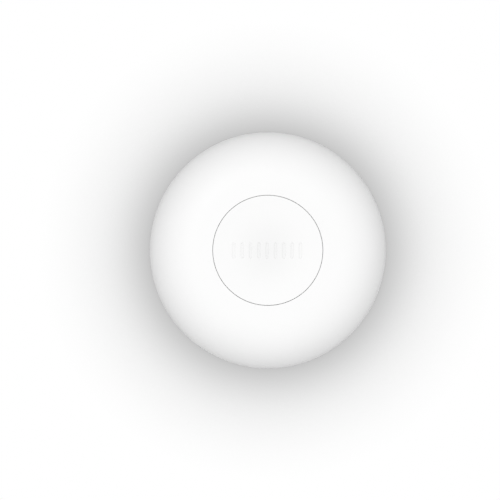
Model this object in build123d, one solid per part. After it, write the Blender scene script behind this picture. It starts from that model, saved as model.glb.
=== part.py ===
"""Wall-mounted panic button, in millimetres.

The origin is the middle of the base plate's back, which lies on the wall. +Z points out of the wall
along the button's axis, +X is to the right and +Y is up for someone who faces the wall.
Each function builds one piece, and main writes each piece to a file of its own.
Sizes that can be set come first. The values after them follow from those.
"""

import os
from math import asin, cos, degrees, radians, sin

from build123d import *

# Body seen from outside
BODY_DIAMETER = 78.0
BODY_HEIGHT = 24.0
WIDEST_HEIGHT = 8.2
RIM_HEIGHT = 1.0
RIM_INSET = 2.4
COVER_WALL = 2.0
RIM_WALL = 1.8

# Button cap
BUTTON_DIAMETER = 36.1
BUTTON_TRAVEL = 1.2
BUTTON_SUNK = 0.1
BUTTON_DISH = 1.1
BUTTON_WALL = 1.8
BUTTON_EDGE = 0.25
FLANGE_THICKNESS = 1.6
KEY_WIDTH = 5.0
KEY_REACH = 2.0
KEY_ANGLES = (30.0, 150.0, 270.0)
STEM_RADIUS = 3.0
STEM_WEB = 1.4
CAP_RIB = 1.0
CAP_RIB_DEPTH = 1.6
CAP_RIB_COUNT = 6

# Collar, bosses and ribs of the cover
COLLAR_WALL = 2.0
COLLAR_EDGE = 0.3
BOSS_RADIUS = 3.0
BOSS_DISTANCE = 3.6
GUIDE_RIB = 1.4
GUIDE_RIB_REACH = 3.0
SEAT_RIB_ANGLE = 2.0
SEAT_RIB_COUNT = 6
SEAT_RIB_HEIGHT = 3.0

# Clearances
BUTTON_GAP = 0.3
MOVING_GAP = 0.3
ASSEMBLY_GAP = 0.1
RUNNING_FIT = 0.08
SCREW_FIT = 0.04
SCREW_CLEARANCE = 0.3
BASE_GAP = 0.4
LOCK_GAP = 0.2

# Twist lock between cover and base
TWIST_ANGLE = 14.0
LOCK_ANGLES = (90.0, 210.0, 330.0)
LUG_ANGLE = 12.0
LUG_REACH = 1.5
LUG_THICKNESS = 1.6
TAB_ANGLE = 10.0
TAB_RISE = 1.2
TAB_THICKNESS = 1.6
STOP_ANGLE = 2.0
STOP_PLAY_ANGLE = 0.5
DETENT_HEIGHT = 0.15
DETENT_ANGLE = 0.8

# Base plate
FLOOR_THICKNESS = 2.0
FLOOR_EDGE = 0.4
BASE_RIM_WALL = 1.4
BASE_RIM_HEIGHT = 8.0
THUMB_NOTCH_ANGLE = 44.0
THUMB_NOTCH_HEIGHT = 4.4
POCKET_DEPTH = 0.6
POCKET_INNER = 10.5
POCKET_RIM = 4.0
POCKET_SWEEP = 45.0
WALL_SCREW_SPACING = 50.0
WALL_SCREW_HOLE = 4.5
WALL_SCREW_SINK = 8.6
WALL_PAD_RADIUS = 6.2
WALL_PAD_RISE = 1.4
POST_RADIUS = 2.6
SUPPORT_RADIUS = 1.8

# Circuit board
BOARD_THICKNESS = 1.6
BOARD_RISE = 1.6
BOARD_NOTCH_RADIUS = 5.2
BOARD_SCREW_INSET = 3.9
BOARD_SCREW_ANGLES = (135.0, 222.0, 318.0)
LEG_BELOW_BOARD = 1.0
LEG_HOLE_RADIUS = 0.5

# Screws, each given as shank radius, head radius, head height and shank length
BOARD_SCREW = (1.0, 2.0, 1.5, 4.2)
CARRIER_SCREW = (1.0, 2.2, 1.6, 7.0)
CARRIER_SCREW_ANGLES = (90.0, 210.0, 330.0)
SCREW_TIP = 0.8
SCREW_DOME = 0.45
SCREW_RECESS_WIDTH = 0.5
SCREW_RECESS_DEPTH = 0.8

# Button carrier and return spring
CARRIER_THICKNESS = 1.5
CARRIER_ARM_WIDTH = 6.4
CARRIER_EAR_RADIUS = 3.2
CARRIER_RING_INSET = 0.6
STOP_HEIGHT = 0.3
STOP_LENGTH = 3.0
STOP_WIDTH = 4.0
STOP_COUNT = 6
GUIDE_WALL = 1.5
SPRING_RADIUS = 6.4
SPRING_WIRE = 0.45
SPRING_TURNS = 4.5
SPRING_CLOSED_TURNS = 0.8
SPRING_SEAT_WALL = 1.1
SPRING_SEAT_RISE = 1.2

# Main switch and tamper switch
SWITCH_SIZE = 6.0
SWITCH_CORNER = 0.5
SWITCH_BODY_HEIGHT = 3.1
SWITCH_FLOOR = 0.6
SWITCH_FRAME = 0.4
SWITCH_LIP_WIDTH = 2.6
SWITCH_LIP_HEIGHT = 1.2
SWITCH_SHEET = 0.3
SWITCH_PIN_WIDTH = 0.7
SWITCH_PIN_HEIGHT = 1.6
SWITCH_PIN_PITCH = 4.5
SWITCH_HEIGHT = 7.3
PLUNGER_RADIUS = 1.75
PLUNGER_FLANGE = 0.55
PLUNGER_FLANGE_HEIGHT = 0.6
PLUNGER_EDGE = 0.3
TAMPER_HEIGHT = 6.8
TAMPER_TRAVEL = 1.0
TAMPER_ANGLE = 66.0
TAMPER_INSET = 0.45
TAMPER_POST_WALL = 2.6
TAMPER_POST_MARGIN = 4.0
TAMPER_RAMP_LEAD = 0.3
TAMPER_DOME_RADIUS = 3.0

# Coin cell, its holder and its contacts
CELL_DIAMETER = 24.5
CELL_THICKNESS = 5.0
CELL_STEP = 1.3
CELL_STEP_HEIGHT = 0.7
CELL_EDGE = 0.25
HOLDER_FLOOR = 0.5
HOLDER_WALL = 1.1
HOLDER_WINDOW_RADIUS = 5.5
HOLDER_HOOK_ANGLES = (35.0, 145.0)
HOLDER_HOOK_SWEEP = 18.0
HOLDER_HOOK_REACH = 0.9
HOLDER_HOOK_HEIGHT = 0.3
HOLDER_EDGE_GAP = 0.5
HOLDER_PEG_RADIUS = 0.8
HOLDER_PEG_OFFSET = 9.0
CONTACT_SHEET = 0.3
CONTACT_WIDTH = 3.2
CONTACT_LEG_WIDTH = 1.0
CONTACT_STAND_OFF = 0.8
CONTACT_DROP = 1.0
NEGATIVE_SIZE = (8.0, 6.0)
NEGATIVE_FINGER = (1.4, 1.2)

# Radio parts
SHIELD_SIZE = (14.0, 11.0, 2.2)
SHIELD_PLACE = (-11.5, 11.5)
SHIELD_SHEET = 0.25
SHIELD_CORNER = 0.8
ANTENNA_RADIUS = 1.7
ANTENNA_WIRE = 0.3
ANTENNA_TURNS = 6.5
ANTENNA_PITCH = 1.8
ANTENNA_PLACE = (-1.5, 25.6)
CHIP_SIZE = (7.0, 7.0, 1.0)
CHIP_PLACE = (4.6, 10.6)
CRYSTAL_SIZE = (5.0, 3.2, 1.1)
CRYSTAL_PLACE = (12.6, 9.2)
CAPACITOR_RADIUS = 3.15
CAPACITOR_HEIGHT = 5.4
CAPACITOR_FOOT = (6.6, 0.8, 1.2)
CAPACITOR_PLACE = (13.6, 0.6)
SMALL_CHIP_SIZE = (2.0, 1.25, 0.7)
SMALL_CHIP_PLACES = (
    (-1.6, 6.2, 0), (1.4, 5.4, 0), (9.8, 5.4, 90), (9.8, 14.6, 0), (-8.0, 4.0, 90),
    (-11.0, 4.0, 90), (-14.0, 3.0, 0), (-8.0, -2.0, 90), (8.2, -2.2, 90), (-2.4, 13.2, 90),
)

# How far pieces of one solid run into each other, and how far cutters run past what they cut
JOIN = 0.5
CUT = 1.0

# Points per turn of a wound wire
STEPS_PER_TURN = 16

# Outline of the body
BODY_RADIUS = BODY_DIAMETER / 2
SHOULDER_RADIUS = BODY_HEIGHT - WIDEST_HEIGHT
CROWN_RADIUS = BODY_RADIUS - SHOULDER_RADIUS
RIM_RADIUS = BODY_RADIUS - RIM_INSET
OPENING_RADIUS = RIM_RADIUS - RIM_WALL

# Base plate from the cover's opening inwards
FLOOR_RADIUS = OPENING_RADIUS - BASE_GAP
LUG_RADIUS = OPENING_RADIUS - MOVING_GAP
BASE_RIM_OUTER = LUG_RADIUS - LUG_REACH
BASE_RIM_INNER = BASE_RIM_OUTER - BASE_RIM_WALL
BOARD_RADIUS = BASE_RIM_INNER - MOVING_GAP
BOARD_SCREW_CIRCLE = BOARD_RADIUS - BOARD_SCREW_INSET

# Heights from the wall outwards
TAB_BOTTOM = FLOOR_THICKNESS + TAB_RISE
TAB_TOP = TAB_BOTTOM + TAB_THICKNESS
LUG_BOTTOM = TAB_TOP + LOCK_GAP
LUG_TOP = LUG_BOTTOM + LUG_THICKNESS
WALL_PAD_TOP = FLOOR_THICKNESS + WALL_PAD_RISE
BOARD_BOTTOM = FLOOR_THICKNESS + BOARD_RISE
BOARD_TOP = BOARD_BOTTOM + BOARD_THICKNESS
CELL_BOTTOM = BOARD_TOP + HOLDER_FLOOR
CELL_TOP = CELL_BOTTOM + CELL_THICKNESS
HOLDER_TOP = CELL_TOP + HOLDER_HOOK_HEIGHT
SWITCH_TOP = BOARD_TOP + SWITCH_BODY_HEIGHT
PLUNGER_TOP = BOARD_TOP + SWITCH_HEIGHT
TAMPER_TOP = BOARD_TOP + TAMPER_HEIGHT
CARRIER_BOTTOM = HOLDER_TOP + BASE_GAP
CARRIER_TOP = CARRIER_BOTTOM + CARRIER_THICKNESS
STOP_TOP = CARRIER_TOP + STOP_HEIGHT
FLANGE_BOTTOM = STOP_TOP + BUTTON_TRAVEL
FLANGE_TOP = FLANGE_BOTTOM + FLANGE_THICKNESS
COLLAR_BOTTOM = FLANGE_TOP

# Heights from the button's face inwards
CAP_TOP = BODY_HEIGHT - BUTTON_SUNK
CAP_MIDDLE = CAP_TOP - BUTTON_DISH
CAP_INSIDE = CAP_MIDDLE - BUTTON_WALL
GUIDE_TOP = CAP_INSIDE - 2 * BUTTON_TRAVEL

# Button, collar and carrier from the axis outwards
CAP_RADIUS = BUTTON_DIAMETER / 2
SKIRT_INNER = CAP_RADIUS - BUTTON_WALL
COLLAR_BORE = CAP_RADIUS + BUTTON_GAP
COLLAR_OUTER = COLLAR_BORE + COLLAR_WALL
FLANGE_RADIUS = COLLAR_OUTER - 2 * ASSEMBLY_GAP
GUIDE_BORE = STEM_RADIUS + RUNNING_FIT
GUIDE_OUTER = GUIDE_BORE + GUIDE_WALL
SEAT_INNER = SPRING_RADIUS + SPRING_WIRE + MOVING_GAP
SEAT_OUTER = SEAT_INNER + SPRING_SEAT_WALL
CARRIER_SCREW_CIRCLE = COLLAR_OUTER + BOSS_DISTANCE + BOSS_RADIUS
TAMPER_CIRCLE = (COLLAR_OUTER + BOARD_RADIUS) / 2 - TAMPER_INSET

# Coin cell on the board
HOLDER_INNER = CELL_DIAMETER / 2 + ASSEMBLY_GAP
HOLDER_OUTER = HOLDER_INNER + HOLDER_WALL
CELL_OFFSET = BOARD_RADIUS - HOLDER_EDGE_GAP - HOLDER_OUTER
CONTACT_REACH = HOLDER_OUTER + CONTACT_STAND_OFF

BOTTOM = (Align.CENTER, Align.CENTER, Align.MIN)


def disc(radius, low, high, x=0.0, y=0.0):
    """Upright cylinder between two heights."""
    return Pos(x, y, low) * Cylinder(radius, high - low, align=BOTTOM)


def tube(inner, outer, low, high, x=0.0, y=0.0):
    """Upright tube between two heights."""
    return disc(outer, low, high, x, y) - disc(inner, low - CUT, high + CUT, x, y)


def block(x_size, y_size, low, high, x=0.0, y=0.0):
    """Upright box between two heights."""
    return Pos(x, y, low) * Box(x_size, y_size, high - low, align=BOTTOM)


def bar(inner, outer, width, low, high, y=0.0):
    """Box that runs outwards along +X between two distances from the axis."""
    return block(outer - inner, width, low, high, (inner + outer) / 2, y)


def around(angle, shape):
    """The shape turned about the button's axis, in degrees."""
    return Rot(0, 0, angle) * shape


def sector(inner, outer, low, high, middle, sweep):
    """Part of a tube, swept to both sides of one angle, in degrees."""
    section = Pos((inner + outer) / 2, (low + high) / 2) * Rectangle(outer - inner, high - low)
    return around(middle - sweep / 2, revolve(Plane.XZ * section, Axis.Z, sweep))


def turned(edges):
    """Solid of revolution about Z of a closed outline of edges in radius and height."""
    return revolve(Plane.XZ * make_face(edges), Axis.Z)


def turned_points(*points):
    """Solid of revolution about Z of a closed outline of corners in radius and height."""
    return turned(Polyline(*points, close=True))


def on_circle(radius, angle):
    """Point at a distance from the axis in the direction of an angle, in degrees."""
    return radius * cos(radians(angle)), radius * sin(radians(angle))


def upright_edges(shape):
    """Edges that run along Z."""
    return shape.edges().filter_by(Axis.Z)


def top_edges(shape):
    """Edges round the highest face."""
    return shape.edges().group_by(Axis.Z)[-1]


def body_form(inset, rim_radius):
    """Solid within the body's outer surface, moved inwards by inset, down to a radius at the rim."""
    reach, top = BODY_RADIUS - inset, BODY_HEIGHT - inset
    run, drop = reach - rim_radius, WIDEST_HEIGHT - RIM_HEIGHT
    bend = (run * run + drop * drop) / (2 * run)
    return turned([
        Line((0, top), (CROWN_RADIUS, top)),
        CenterArc((CROWN_RADIUS, WIDEST_HEIGHT), SHOULDER_RADIUS - inset, 90, -90),
        CenterArc((reach - bend, WIDEST_HEIGHT), bend, 0, -degrees(asin(drop / bend))),
        Line((rim_radius, RIM_HEIGHT), (0, RIM_HEIGHT)),
        Line((0, RIM_HEIGHT), (0, top)),
    ])


def cover_shell(envelope):
    """Domed shell with the collar round the button, whose mouth has a rounded edge."""
    collar = disc(COLLAR_OUTER, COLLAR_BOTTOM, BODY_HEIGHT) & envelope
    mouth = COLLAR_BORE + COLLAR_EDGE
    edge_bottom = BODY_HEIGHT - COLLAR_EDGE
    bore = turned([
        Line((0, RIM_HEIGHT), (COLLAR_BORE, RIM_HEIGHT)),
        Line((COLLAR_BORE, RIM_HEIGHT), (COLLAR_BORE, edge_bottom)),
        CenterArc((mouth, edge_bottom), COLLAR_EDGE, 180, -90),
        Line((mouth, BODY_HEIGHT), (0, BODY_HEIGHT)),
        Line((0, BODY_HEIGHT), (0, RIM_HEIGHT)),
    ])
    return envelope - body_form(COVER_WALL, OPENING_RADIUS) + collar - bore


def screw_bosses():
    """Round bosses for the carrier's screws, each with a web to the collar."""
    web = bar(COLLAR_OUTER - JOIN, CARRIER_SCREW_CIRCLE, GUIDE_RIB, COLLAR_BOTTOM, BODY_HEIGHT)
    boss = disc(BOSS_RADIUS, CARRIER_TOP, BODY_HEIGHT, CARRIER_SCREW_CIRCLE)
    return [around(angle, piece) for angle in CARRIER_SCREW_ANGLES for piece in (boss, web)]


def key_guides():
    """Pairs of ribs that keep the button's keys from turning."""
    outer = COLLAR_OUTER + GUIDE_RIB_REACH
    offset = KEY_WIDTH / 2 + MOVING_GAP + GUIDE_RIB / 2
    upper_inner = COLLAR_BORE + JOIN
    lower_inner = FLANGE_RADIUS + MOVING_GAP
    ribs = []
    for angle in KEY_ANGLES:
        for side in (-offset, offset):
            upper = bar(upper_inner, outer, GUIDE_RIB, COLLAR_BOTTOM, BODY_HEIGHT, side)
            lower = bar(lower_inner, outer, GUIDE_RIB, STOP_TOP, BODY_HEIGHT, side)
            ribs += [around(angle, upper), around(angle, lower)]
    return ribs


def lock_tabs():
    """Tabs that reach in below the base plate's lugs."""
    inner = BASE_RIM_OUTER + MOVING_GAP
    return [sector(inner, BODY_RADIUS, TAB_BOTTOM, TAB_TOP, angle, TAB_ANGLE) for angle in LOCK_ANGLES]


def seat_ribs():
    """Short ribs inside the shell that rest on the base plate's rim."""
    low = BASE_RIM_HEIGHT + ASSEMBLY_GAP
    step = 360 / SEAT_RIB_COUNT
    return [
        sector(BASE_RIM_INNER, BODY_RADIUS, low, low + SEAT_RIB_HEIGHT, index * step, SEAT_RIB_ANGLE)
        for index in range(SEAT_RIB_COUNT)
    ]


def tamper_post():
    """Curved post that holds the tamper plunger down, with a ramp that lets it rise as the cover turns."""
    low = TAMPER_TOP + ASSEMBLY_GAP
    inner, outer = TAMPER_CIRCLE - TAMPER_POST_WALL / 2, TAMPER_CIRCLE + TAMPER_POST_WALL / 2
    middle = TAMPER_ANGLE - TWIST_ANGLE / 2
    post = sector(inner, outer, low, BODY_HEIGHT, middle, TWIST_ANGLE + 2 * TAMPER_POST_MARGIN)
    slope = TAMPER_TRAVEL / (TAMPER_CIRCLE * radians(TWIST_ANGLE))
    wedge = Polyline(
        (-outer, low - CUT),
        (-outer, low + slope * (TAMPER_RAMP_LEAD + outer)),
        (TAMPER_RAMP_LEAD, low),
        (TAMPER_RAMP_LEAD, low - CUT),
        close=True,
    )
    ramp = extrude(Plane.YZ * make_face(wedge), outer + CUT)
    return post - around(TAMPER_ANGLE, ramp)


def front_cover():
    """Domed cover with screw bosses, key guides, seat ribs, twist-lock tabs and tamper post."""
    envelope = body_form(0.0, RIM_RADIUS)
    inside = screw_bosses() + key_guides() + lock_tabs() + seat_ribs() + [tamper_post()]
    cover = cover_shell(envelope) + [piece & envelope for piece in inside]
    shank, length = CARRIER_SCREW[0], CARRIER_SCREW[3]
    pilot = disc(shank + SCREW_FIT, CARRIER_TOP - CUT, CARRIER_TOP + length, CARRIER_SCREW_CIRCLE)
    return cover - [around(angle, pilot) for angle in CARRIER_SCREW_ANGLES]


def dished_arc(middle, radius, rise):
    """Arc from a height on the axis up to a radius, level on the axis."""
    return ThreePointArc((0, middle), (radius / 2, middle + rise / 4), (radius, middle + rise))


def cap_shell():
    """Dished disc with a skirt and a flange."""
    face_edge = CAP_RADIUS - BUTTON_EDGE
    edge_height = CAP_TOP - BUTTON_EDGE
    rise = BUTTON_DISH * (SKIRT_INNER / face_edge) ** 2
    return turned([
        dished_arc(CAP_MIDDLE, face_edge, BUTTON_DISH),
        CenterArc((face_edge, edge_height), BUTTON_EDGE, 90, -90),
        Line((CAP_RADIUS, edge_height), (CAP_RADIUS, FLANGE_TOP)),
        Line((CAP_RADIUS, FLANGE_TOP), (FLANGE_RADIUS, FLANGE_TOP)),
        Line((FLANGE_RADIUS, FLANGE_TOP), (FLANGE_RADIUS, FLANGE_BOTTOM)),
        Line((FLANGE_RADIUS, FLANGE_BOTTOM), (SKIRT_INNER, FLANGE_BOTTOM)),
        Line((SKIRT_INNER, FLANGE_BOTTOM), (SKIRT_INNER, CAP_INSIDE + rise)),
        dished_arc(CAP_INSIDE, SKIRT_INNER, rise),
        Line((0, CAP_INSIDE), (0, CAP_MIDDLE)),
    ])


def button_cap():
    """Dished cap with keys under the collar, a spring seat and a cross-shaped stem."""
    cap = cap_shell()
    web = block(2 * STEM_RADIUS, STEM_WEB, PLUNGER_TOP, CAP_INSIDE + JOIN)
    cap += (web + around(90, web)) & disc(STEM_RADIUS, PLUNGER_TOP, CAP_INSIDE + JOIN)
    cap += disc(SEAT_OUTER, CAP_INSIDE, CAP_INSIDE + JOIN)
    cap += tube(SEAT_INNER, SEAT_OUTER, CAP_INSIDE - SPRING_SEAT_RISE, CAP_INSIDE + JOIN)
    key = bar(CAP_RADIUS, FLANGE_RADIUS + KEY_REACH, KEY_WIDTH, FLANGE_BOTTOM, FLANGE_TOP)
    rib_bottom = CAP_INSIDE - CAP_RIB_DEPTH
    rib = bar(SEAT_OUTER - JOIN, SKIRT_INNER + JOIN, CAP_RIB, rib_bottom, CAP_INSIDE + JOIN)
    cap += [around(angle, key) for angle in KEY_ANGLES]
    return cap + [around(index * 360 / CAP_RIB_COUNT, rib) for index in range(CAP_RIB_COUNT)]


def button_carrier():
    """Three-armed spider screwed into the cover, with guide tube, spring seat and travel stops."""
    carrier = tube(SKIRT_INNER - CARRIER_RING_INSET, FLANGE_RADIUS, CARRIER_BOTTOM, CARRIER_TOP)
    carrier += disc(SEAT_OUTER + CARRIER_RING_INSET, CARRIER_BOTTOM, CARRIER_TOP)
    carrier += tube(SEAT_INNER, SEAT_OUTER, CARRIER_TOP - JOIN, CARRIER_TOP + SPRING_SEAT_RISE)
    carrier += disc(GUIDE_OUTER, CARRIER_BOTTOM, GUIDE_TOP)
    arm = bar(GUIDE_OUTER, CARRIER_SCREW_CIRCLE, CARRIER_ARM_WIDTH, CARRIER_BOTTOM, CARRIER_TOP)
    arm += disc(CARRIER_EAR_RADIUS, CARRIER_BOTTOM, CARRIER_TOP, CARRIER_SCREW_CIRCLE)
    carrier += [around(angle, arm) for angle in CARRIER_SCREW_ANGLES]
    stop_middle = (SKIRT_INNER + FLANGE_RADIUS) / 2
    stop = block(STOP_LENGTH, STOP_WIDTH, CARRIER_TOP - JOIN, STOP_TOP, stop_middle)
    carrier += [around(index * 360 / STOP_COUNT, stop) for index in range(STOP_COUNT)]
    carrier -= disc(GUIDE_BORE, CARRIER_BOTTOM - CUT, GUIDE_TOP + CUT)
    hole_radius = CARRIER_SCREW[0] + SCREW_CLEARANCE
    hole = disc(hole_radius, CARRIER_BOTTOM - CUT, CARRIER_TOP + CUT, CARRIER_SCREW_CIRCLE)
    return carrier - [around(angle, hole) for angle in CARRIER_SCREW_ANGLES]


def screw(shank_radius, head_radius, head_height, shank_length):
    """Pan-head screw that points up from its head's seat at height 0, with a cross recess."""
    side = -(head_height - SCREW_DOME)
    head = turned([
        Line((0, 0), (head_radius, 0)),
        Line((head_radius, 0), (head_radius, side)),
        ThreePointArc((head_radius, side), (head_radius * 0.75, side - SCREW_DOME * 0.7), (0, -head_height)),
        Line((0, -head_height), (0, 0)),
    ])
    slot = block(head_radius * 1.1, SCREW_RECESS_WIDTH, -head_height - CUT, SCREW_RECESS_DEPTH - head_height)
    shank = turned_points(
        (0, -JOIN / 2),
        (shank_radius, -JOIN / 2),
        (shank_radius, shank_length - SCREW_TIP),
        (shank_radius / 2, shank_length),
        (0, shank_length),
    )
    return head - (slot + around(90, slot)) + shank


def carrier_screws():
    """Three screws that hold the carrier to the cover's bosses."""
    placed = Pos(CARRIER_SCREW_CIRCLE, 0, CARRIER_BOTTOM) * screw(*CARRIER_SCREW)
    return [around(angle, placed) for angle in CARRIER_SCREW_ANGLES]


def board_screws():
    """Three screws that hold the circuit board to the base plate's posts."""
    placed = Pos(BOARD_SCREW_CIRCLE, 0, BOARD_TOP) * Rot(180, 0, 0) * screw(*BOARD_SCREW)
    return [around(angle, placed) for angle in BOARD_SCREW_ANGLES]


def wire_along(points, radius):
    """Round wire whose middle runs smoothly through the points."""
    path = Spline(*points)
    return sweep(Plane(path @ 0, z_dir=path % 0) * Circle(radius), path=path)


def spring_height(turn, low, high):
    """Height of the wire's middle after a number of turns, with closed turns at both ends."""
    closed_rise = 2 * SPRING_WIRE * SPRING_CLOSED_TURNS
    if turn < SPRING_CLOSED_TURNS:
        return low + 2 * SPRING_WIRE * turn
    if turn > SPRING_TURNS - SPRING_CLOSED_TURNS:
        return high - 2 * SPRING_WIRE * (SPRING_TURNS - turn)
    share = (turn - SPRING_CLOSED_TURNS) / (SPRING_TURNS - 2 * SPRING_CLOSED_TURNS)
    return low + closed_rise + share * (high - low - 2 * closed_rise)


def return_spring():
    """Coil spring round the guide tube, with closed ends ground flat."""
    low, high = CARRIER_TOP, CAP_INSIDE
    ground = SPRING_WIRE / 3
    steps = int(SPRING_TURNS * STEPS_PER_TURN)
    points = []
    for step in range(steps + 1):
        turn = SPRING_TURNS * step / steps
        height = spring_height(turn, low + ground, high - ground)
        points.append((*on_circle(SPRING_RADIUS, 360 * turn), height))
    return wire_along(points, SPRING_WIRE) & disc(SEAT_INNER, low, high)


def support_points():
    """Places where a plain post carries the circuit board from below."""
    return [(0.0, 0.0), on_circle(TAMPER_CIRCLE, TAMPER_ANGLE), (0.0, -CELL_OFFSET)]


def wall_pads():
    """Raised pads round the wall screws' holes."""
    x = WALL_SCREW_SPACING / 2
    return [disc(WALL_PAD_RADIUS, FLOOR_THICKNESS - JOIN, WALL_PAD_TOP, side) for side in (-x, x)]


def wall_screw_holes():
    """Cutters for the wall screws: a hole with a countersink at the top of its pad."""
    hole, sink = WALL_SCREW_HOLE / 2, WALL_SCREW_SINK / 2
    cutter = turned_points(
        (0, -CUT),
        (hole, -CUT),
        (hole, WALL_PAD_TOP - (sink - hole)),
        (sink, WALL_PAD_TOP),
        (sink, WALL_PAD_TOP + CUT),
        (0, WALL_PAD_TOP + CUT),
    )
    x = WALL_SCREW_SPACING / 2
    return [Pos(side, 0, 0) * cutter for side in (-x, x)]


def lock_lugs():
    """Lugs on the rim, each with a detent below its end and a stop beside it."""
    root = BASE_RIM_OUTER - JOIN
    lugs = []
    for angle in LOCK_ANGLES:
        detent = angle + (LUG_ANGLE - DETENT_ANGLE) / 2
        stop = angle - TAB_ANGLE / 2 - STOP_PLAY_ANGLE - STOP_ANGLE / 2
        lugs += [
            sector(root, LUG_RADIUS, LUG_BOTTOM, LUG_TOP, angle, LUG_ANGLE),
            sector(root, LUG_RADIUS, LUG_BOTTOM - DETENT_HEIGHT, LUG_TOP, detent, DETENT_ANGLE),
            sector(root, LUG_RADIUS, FLOOR_THICKNESS - JOIN, LUG_TOP, stop, STOP_ANGLE),
        ]
    return lugs


def base_plate():
    """Wall plate with pockets behind, a rim with twist-lock lugs, board posts and wall-screw pads."""
    floor = disc(FLOOR_RADIUS, 0, FLOOR_THICKNESS)
    base = chamfer(floor.edges().group_by(Axis.Z)[0], FLOOR_EDGE)
    base += tube(BASE_RIM_INNER, BASE_RIM_OUTER, FLOOR_THICKNESS - JOIN, BASE_RIM_HEIGHT)
    base += lock_lugs() + wall_pads()
    base -= sector(BASE_RIM_INNER - CUT, BASE_RIM_OUTER + CUT, THUMB_NOTCH_HEIGHT, BASE_RIM_HEIGHT + CUT,
                   270, THUMB_NOTCH_ANGLE)
    post = disc(POST_RADIUS, FLOOR_THICKNESS - JOIN, BOARD_BOTTOM, BOARD_SCREW_CIRCLE)
    base += [around(angle, post) for angle in BOARD_SCREW_ANGLES]
    base += [disc(SUPPORT_RADIUS, FLOOR_THICKNESS - JOIN, BOARD_BOTTOM, x, y) for x, y in support_points()]
    pocket_outer = FLOOR_RADIUS - POCKET_RIM
    base -= [
        sector(POCKET_INNER, pocket_outer, -CUT, POCKET_DEPTH, angle, POCKET_SWEEP)
        for angle in (45, 135, 225, 315)
    ]
    pilot_low = BOARD_TOP - BOARD_SCREW[3] - ASSEMBLY_GAP
    pilot = disc(BOARD_SCREW[0] + SCREW_FIT, pilot_low, BOARD_BOTTOM + CUT, BOARD_SCREW_CIRCLE)
    base -= [around(angle, pilot) for angle in BOARD_SCREW_ANGLES]
    return base - wall_screw_holes()


def pin_points():
    """Centres of a switch's four pins, for a switch at the origin."""
    x = SWITCH_SIZE / 2 + SWITCH_SHEET
    y = SWITCH_PIN_PITCH / 2
    return [(side_x * x, side_y * y) for side_x in (-1, 1) for side_y in (-1, 1)]


def at_tamper(shape):
    """The shape moved from the origin to the tamper switch's place."""
    return around(TAMPER_ANGLE, Pos(TAMPER_CIRCLE, 0, 0) * shape)


def antenna_ends():
    """Places where the antenna's wire goes into the board, on opposite sides of its coil."""
    x, y = ANTENNA_PLACE
    half = ANTENNA_PITCH * ANTENNA_TURNS / 2
    return [(x - half, y - ANTENNA_RADIUS), (x + half, y + ANTENNA_RADIUS)]


def circuit_board():
    """Round board with notches over the wall screws and holes for screws, pins, pegs and legs."""
    low, high = BOARD_BOTTOM - CUT, BOARD_TOP + CUT
    board = disc(BOARD_RADIUS, BOARD_BOTTOM, BOARD_TOP)
    x = WALL_SCREW_SPACING / 2
    for turn in (0, 180):
        notch = disc(BOARD_NOTCH_RADIUS, low, high, x)
        notch += bar(x, BOARD_RADIUS + CUT, 2 * BOARD_NOTCH_RADIUS, low, high)
        board -= around(turn, notch)
    screw_hole = disc(BOARD_SCREW[0] + SCREW_CLEARANCE, low, high, BOARD_SCREW_CIRCLE)
    board -= [around(angle, screw_hole) for angle in BOARD_SCREW_ANGLES]
    pin_holes = [disc(LEG_HOLE_RADIUS, low, high, x, y) for x, y in pin_points()]
    board -= pin_holes + [at_tamper(hole) for hole in pin_holes]
    leg_places = antenna_ends() + [(CONTACT_REACH, -CELL_OFFSET)]
    board -= [disc(LEG_HOLE_RADIUS + ASSEMBLY_GAP, low, high, x, y) for x, y in leg_places]
    peg_hole = HOLDER_PEG_RADIUS + ASSEMBLY_GAP
    sides = (-HOLDER_PEG_OFFSET, HOLDER_PEG_OFFSET)
    return board - [disc(peg_hole, low, high, side, -CELL_OFFSET) for side in sides]


def switch_body():
    """Moulded housing of a switch at the origin, open at the top for the plunger."""
    body = block(SWITCH_SIZE, SWITCH_SIZE, BOARD_TOP, SWITCH_TOP)
    body = chamfer(upright_edges(body), SWITCH_CORNER)
    cavity = PLUNGER_RADIUS + PLUNGER_FLANGE + MOVING_GAP
    return body - disc(cavity, BOARD_TOP + SWITCH_FLOOR, SWITCH_TOP + CUT)


def switch_frame():
    """Metal cover of a switch at the origin, with a lip down each of two sides."""
    top = SWITCH_TOP + SWITCH_FRAME
    frame = block(SWITCH_SIZE, SWITCH_SIZE, SWITCH_TOP, top)
    frame = chamfer(upright_edges(frame), SWITCH_CORNER)
    for side in (-1, 1):
        y = side * (SWITCH_SIZE + SWITCH_SHEET) / 2
        frame += block(SWITCH_LIP_WIDTH, SWITCH_SHEET, SWITCH_TOP - SWITCH_LIP_HEIGHT, top, 0, y)
    return frame - disc(PLUNGER_RADIUS + RUNNING_FIT, SWITCH_TOP - CUT, top + CUT)


def switch_terminals():
    """Four bent pins of a switch at the origin, which go through the board."""
    pins = []
    foot_low = BOARD_TOP + SWITCH_PIN_HEIGHT - SWITCH_SHEET
    for x, y in pin_points():
        pin = block(SWITCH_SHEET, SWITCH_PIN_WIDTH, BOARD_BOTTOM - LEG_BELOW_BOARD, foot_low + SWITCH_SHEET, x, y)
        foot_x = x - (SWITCH_SHEET / 2 if x > 0 else -SWITCH_SHEET / 2)
        pins.append(pin + block(SWITCH_SHEET, SWITCH_PIN_WIDTH, foot_low, foot_low + SWITCH_SHEET, foot_x, y))
    return pins


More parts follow.
